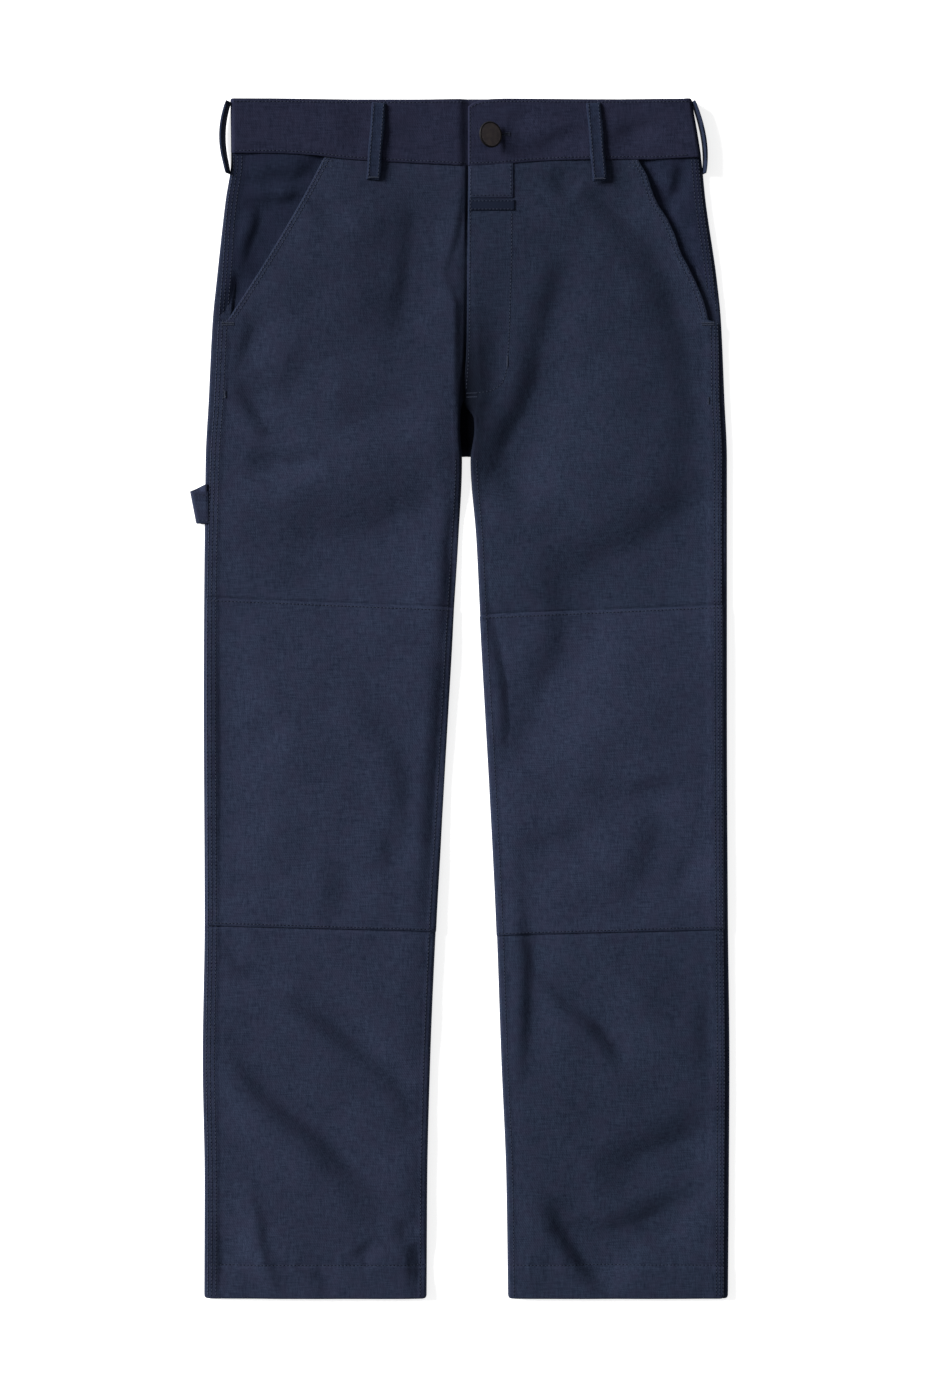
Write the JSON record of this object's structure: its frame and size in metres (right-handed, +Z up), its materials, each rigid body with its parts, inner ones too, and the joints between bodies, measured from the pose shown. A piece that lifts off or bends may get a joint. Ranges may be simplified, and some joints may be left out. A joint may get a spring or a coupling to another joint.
{
  "type": "carpenter jeans",
  "caption": "Straight-leg carpenter jeans laid flat, with slanted front pockets, double knees, belt loops, a hammer loop and a waist button.",
  "frame": {"origin": "on the floor, under the middle of the whole outline", "axes": "+Z up from the floor to the front of the jeans, +Y towards the waist, +X towards the wearer's left leg"},
  "size_m": [0.4748, 1.0561, 0.0187],
  "materials": {
    "navy_twill": "washed navy cotton twill, matt",
    "waistband_twill": "the same cotton twill, a little darker where it is doubled",
    "woven_tape": "smooth dark navy woven tape",
    "dark_metal": "dark gunmetal, dull"
  },
  "bodies": {
    "root": {"front_right": "navy_twill", "front_left": "navy_twill", "back_right": "navy_twill", "back_left": "navy_twill", "pocket_facing_right": "navy_twill", "pocket_facing_left": "navy_twill", "knee_patch_right": "navy_twill", "knee_patch_left": "navy_twill", "waistband": "waistband_twill", "belt_loop_front_right": "waistband_twill", "belt_loop_front_left": "waistband_twill", "belt_loop_side_right": "waistband_twill", "belt_loop_side_left": "waistband_twill", "hammer_loop": "navy_twill", "fly_patch": "navy_twill", "fly_tape": "woven_tape", "waist_button": "dark_metal"}
  },
  "joints": []
}
